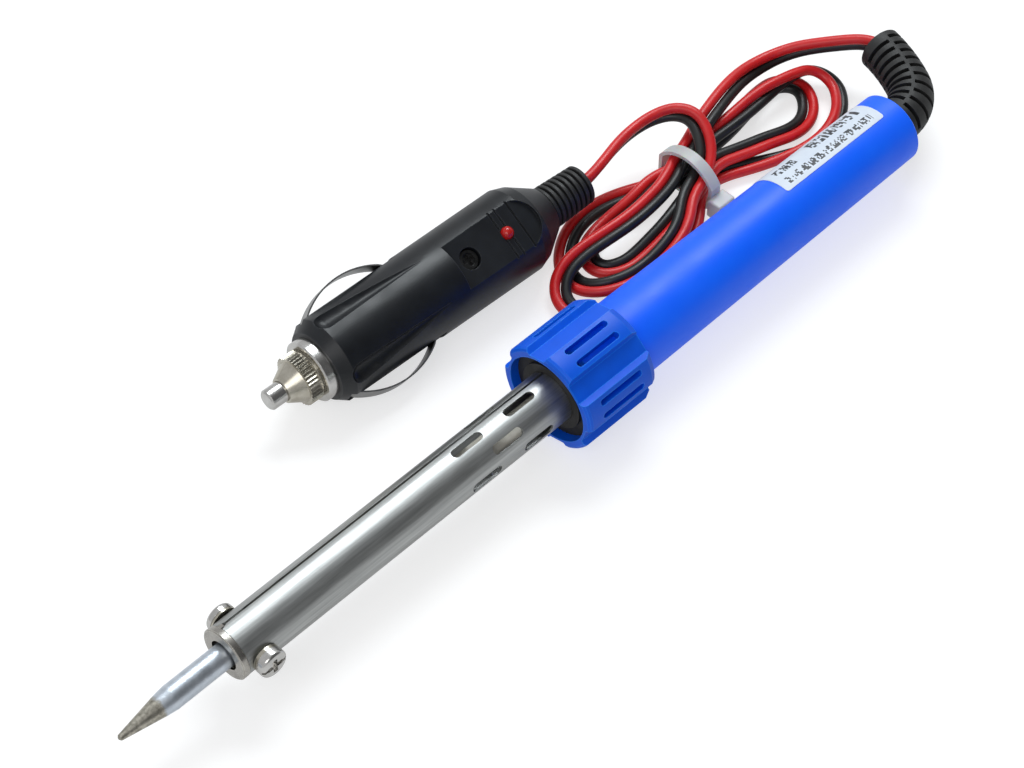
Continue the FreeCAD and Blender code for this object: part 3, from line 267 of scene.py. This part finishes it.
def ink_row(tree, x, across, row):
    """Mask of one row of small ink blocks, parted into words; no word forms a letter."""
    along = calc(tree, "DIVIDE", calc(tree, "SUBTRACT", x, row["first"] * MM), row["word"] * MM)
    up = calc(tree, "DIVIDE", calc(tree, "SUBTRACT", across, row["start"] * MM), row["high"] * MM)
    cell = tree.nodes.new("ShaderNodeCombineXYZ")
    set_inputs(cell, {"Z": row["start"]})
    tree.links.new(calc(tree, "FLOOR", calc(tree, "MULTIPLY", along, WORD_BLOCKS)), cell.inputs["X"])
    tree.links.new(calc(tree, "FLOOR", calc(tree, "MULTIPLY", up, ROW_BLOCKS)), cell.inputs["Y"])
    random = tree.nodes.new("ShaderNodeTexWhiteNoise")
    random.noise_dimensions = "3D"
    tree.links.new(cell.outputs["Vector"], random.inputs["Vector"])
    limits = [
        calc(tree, "GREATER_THAN", up, 0.0),
        calc(tree, "LESS_THAN", up, 1.0),
        calc(tree, "GREATER_THAN", along, 0.0),
        calc(tree, "LESS_THAN", x, row["last"] * MM),
        calc(tree, "LESS_THAN", calc(tree, "FRACT", along), WORD_SHARE),
    ]
    ink = calc(tree, "GREATER_THAN", random.outputs["Value"], row["bare"])
    for limit in limits:
        ink = calc(tree, "MULTIPLY", ink, limit)
    return ink


def label_print():
    """Coated white sticker with rows of plain ink blocks in place of its text."""
    material, tree, shader = new_tree("label_paper")
    x, y, z = position(tree)
    angle = calc(tree, "ARCTAN2", calc(tree, "MULTIPLY", y, -1.0), z)
    across = calc(tree, "MULTIPLY", calc(tree, "SUBTRACT", LABEL_EDGE, angle), LABEL_RADIUS)
    mask = 0.0
    for row in INK_ROWS:
        mask = calc(tree, "MAXIMUM", ink_row(tree, x, across, row), mask)
    paper = mottle(tree, noise(tree, 300.0), (0.66, 0.73, 0.84), (0.72, 0.79, 0.88))
    tree.links.new(mix_color(tree, mask, paper, INK), shader.inputs["Base Color"])
    set_inputs(shader, {"Roughness": 0.42})
    add_bump(tree, shader, noise(tree, FINE_GRAIN), 0.05)
    return material


def clear(name, color, rough, through, scatter=0.0):
    """Glass or plastic; through is the share of light that passes, scatter the milky share."""
    material, tree, shader = new_tree(name)
    mottled = noise(tree, 300.0)
    other = [part * 0.9 for part in color]
    tree.links.new(mottle(tree, mottled, color, other), shader.inputs["Base Color"])
    set_inputs(shader, {"Transmission Weight": through, "Subsurface Weight": scatter,
                        "Subsurface Scale": 1 * MM})
    tree.links.new(vary(tree, mottled, rough * 0.8, rough * 1.2), shader.inputs["Roughness"])
    add_bump(tree, shader, noise(tree, 900.0), 0.1)
    return material


def indicator():
    """Glossy red plastic with only a trace of glow."""
    material, tree, shader = new_tree("led_red")
    red = mottle(tree, noise(tree, 800.0), (0.50, 0.008, 0.008), (0.70, 0.02, 0.015))
    tree.links.new(red, shader.inputs["Base Color"])
    set_inputs(shader, {"Roughness": 0.08, "Transmission Weight": 0.25,
                        "Emission Color": (1.0, 0.02, 0.02, 1), "Emission Strength": 0.03})
    add_bump(tree, shader, noise(tree, 900.0), 0.05)
    return material


# The edge colours given to these finishes are painted highlights, lighter than their base colours.
blue = surface("blue_plastic", (0.0, 0.112, 0.97), (0.0, 0.125, 1.0), 0.42, grain=220.0, bump=0.06,
               edge=0.25 * MM, edge_highlight=(0.01, 0.20, 1.0), spec=0.44, glow=0.13)
# The collar's finish is the handle's blue plastic made darker: painted shade.
guard_blue_painted_shade = surface("guard_blue_painted_shade", (0.0, 0.100, 0.74), (0.0, 0.112, 0.82), 0.42, grain=220.0, bump=0.06,
                     edge=0.2 * MM, edge_highlight=(0.01, 0.24, 1.0), spec=0.28)
black = surface("black_plastic", (0.006, 0.007, 0.009), (0.010, 0.012, 0.015), 0.36, grain=260.0, bump=0.12,
                edge=0.2 * MM, edge_highlight=(0.03, 0.033, 0.038), spec=0.40)
rubber = surface("black_rubber", (0.010, 0.010, 0.010), (0.022, 0.022, 0.022), 0.55, bump=0.35,
                 edge=0.15 * MM, edge_highlight=(0.03, 0.03, 0.03))
nickel = surface("nickel", (0.56, 0.55, 0.53), (0.68, 0.67, 0.65), 0.20, metal=1.0, grain=450.0, bump=0.10)
warm_nickel = surface("warm_nickel", (0.46, 0.43, 0.36), (0.60, 0.57, 0.49), 0.24, metal=1.0, grain=450.0,
                      bump=0.12)
steel = surface("plain_steel", (0.42, 0.41, 0.39), (0.55, 0.54, 0.52), 0.32, metal=1.0, grain=400.0)
spring_steel = surface("spring_steel", (0.20, 0.20, 0.20), (0.34, 0.34, 0.335), 0.30, metal=1.0, grain=350.0)
brass = surface("brass", (0.62, 0.45, 0.16), (0.75, 0.56, 0.24), 0.28, metal=1.0, grain=400.0)

FINISHES = {
    "barrel": brushed_tube(),
    "bit": tinned_bit(),
    # The end plate's edge colour is a painted highlight.
    "end_plate": surface("plate_nickel", (0.36, 0.345, 0.32), (0.50, 0.48, 0.44), 0.26, metal=1.0,
                         grain=450.0, edge_highlight=(0.74, 0.72, 0.64)),
    "holder_ring": steel,
    "clamp_screw_near": nickel,
    "clamp_screw_far": nickel,
    "washer_near": warm_nickel,
    "washer_far": warm_nickel,
    "heater_core": surface("ceramic", (0.62, 0.58, 0.48), (0.75, 0.71, 0.62), 0.6),
    "heater_coil": surface("heater_wire", (0.20, 0.18, 0.16), (0.30, 0.28, 0.25), 0.45, metal=1.0),
    # The mica is darkened so the seam and vents read dark: partly its own tone, partly painted shade.
    "mica_wrap": surface("mica", (0.060, 0.055, 0.045), (0.115, 0.10, 0.08), 0.50, spec=0.3),
    "lead_wires": steel,
    "lead_sleeves": surface("glass_fibre", (0.60, 0.57, 0.49), (0.75, 0.72, 0.65), 0.8, bump=0.5),
    "crimps": brass,
    # The bakelite disc's edge colour is a painted highlight.
    "heat_disc": surface("bakelite", (0.012, 0.012, 0.012), (0.024, 0.023, 0.021), 0.60, bump=0.3,
                         edge_highlight=(0.04, 0.04, 0.038), spec=0.35),
    "collar": guard_blue_painted_shade,
    "handle": blue,
    "label": label_print(),
    "cord_relief": rubber,
    "cable_red": surface("red_pvc", (0.60, 0.010, 0.012), (0.70, 0.016, 0.018), 0.36, grain=300.0,
                         bump=0.12, edge=0.0),
    "cable_black": surface("black_pvc", (0.008, 0.009, 0.009), (0.015, 0.016, 0.016), 0.38, grain=300.0,
                           bump=0.12, edge=0.0),
    "cable_tie": clear("nylon", (0.72, 0.74, 0.74), 0.38, through=0.25, scatter=0.4),
    "plug_shell_upper": black,
    "plug_shell_lower": black,
    "shell_screw": surface("black_screw", (0.02, 0.02, 0.02), (0.05, 0.05, 0.05), 0.35, metal=0.8),
    "led": indicator(),
    "resistor": surface("resistor_paint", (0.55, 0.42, 0.24), (0.65, 0.52, 0.32), 0.4),
    "nose_ring": nickel,
    "cap_nut": warm_nickel,
    "centre_pin": nickel,
    "pin_spring": spring_steel,
    "fuse_glass": clear("fuse_glass", (0.9, 0.95, 0.95), 0.05, through=0.95),
    "fuse_caps": nickel,
    "positive_terminal": brass,
    "side_contact_near": spring_steel,
    "side_contact_far": spring_steel,
    "plug_relief": rubber,
}
for name, node in nodes.items():
    node.data.materials.clear()
    node.data.materials.append(FINISHES[name])


# ---------------------------------------------------------------- the sprung part of the plug

def pressed_spring():
    """The centre pin's spring as its own piece, attached to the cap's body."""
    coil = bpy.data.objects.new("pin_coil", nodes["pin_spring"].data.copy())
    bpy.context.scene.collection.objects.link(coil)
    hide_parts("pin_spring")
    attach(coil, "cap")
    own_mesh(coil)


pressed_spring()


# ---------------------------------------------------------------- camera, table and light

def aim(item, place, target):
    item.location = place
    item.rotation_euler = (Vector(target) - Vector(place)).to_track_quat("-Z", "Y").to_euler()


def add_camera():
    data = bpy.data.cameras.new("camera")
    data.lens = LENS
    data.sensor_width = SENSOR
    data.clip_start = CLIP_START
    camera = bpy.data.objects.new("camera", data)
    bpy.context.scene.collection.objects.link(camera)
    aim(camera, CAMERA_PLACE, CAMERA_TARGET)
    bpy.context.scene.camera = camera


def add_table():
    """Plain white table; it glows a little, and more to the camera, which keeps it pale between shadows."""
    bpy.ops.mesh.primitive_plane_add(size=TABLE_SIZE, location=(0, 0, TABLE_TOP))
    table = bpy.context.object
    table.name = "floor"
    material, tree, shader = new_tree("floor_white")
    base = mottle(tree, noise(tree, 3.0), (0.44, 0.44, 0.44), (0.46, 0.46, 0.46))
    tree.links.new(base, shader.inputs["Base Color"])
    set_inputs(shader, {"Roughness": 0.8, "Emission Color": (1, 1, 1, 1)})
    path = tree.nodes.new("ShaderNodeLightPath")
    seen = calc(tree, "MULTIPLY", path.outputs["Is Camera Ray"], TABLE_GLOW_SEEN)
    tree.links.new(calc(tree, "ADD", seen, TABLE_GLOW), shader.inputs["Emission Strength"])
    table.data.materials.append(material)


def add_lamp(name, place, size, power, color=(1, 1, 1)):
    data = bpy.data.lights.new(name, "AREA")
    data.shape = "RECTANGLE"
    data.size = size
    data.size_y = size * LAMP_HEIGHT
    data.energy = power
    data.color = color
    lamp = bpy.data.objects.new(name, data)
    bpy.context.scene.collection.objects.link(lamp)
    aim(lamp, place, LAMP_TARGET)


def add_world():
    """Bright studio surroundings with one dim side, which round metal shows as a dark band."""
    world = bpy.data.worlds.new("studio")
    bpy.context.scene.world = world
    world.use_nodes = True
    tree = world.node_tree
    background = tree.nodes["Background"]
    place = tree.nodes.new("ShaderNodeTexCoord")
    toward = tree.nodes.new("ShaderNodeVectorMath")
    toward.operation = "DOT_PRODUCT"
    toward.inputs[1].default_value = DIM_SIDE
    tree.links.new(place.outputs["Generated"], toward.inputs[0])
    strength = remap(tree, toward.outputs["Value"], DIM_SPREAD, SKY_BRIGHT, SKY_DIM, smooth=True)
    tree.links.new(strength, background.inputs["Strength"])
    set_inputs(background, {"Color": (*SKY_COLOR, 1)})


add_camera()
add_table()
add_world()
add_lamp("key", (0.42, 0.36, 0.78), size=0.55, power=5.0, color=(0.91, 0.97, 1.0))
add_lamp("front", (-0.55, -0.25, 0.65), size=0.6, power=1.6)
bpy.context.scene.view_settings.view_transform = "Standard"
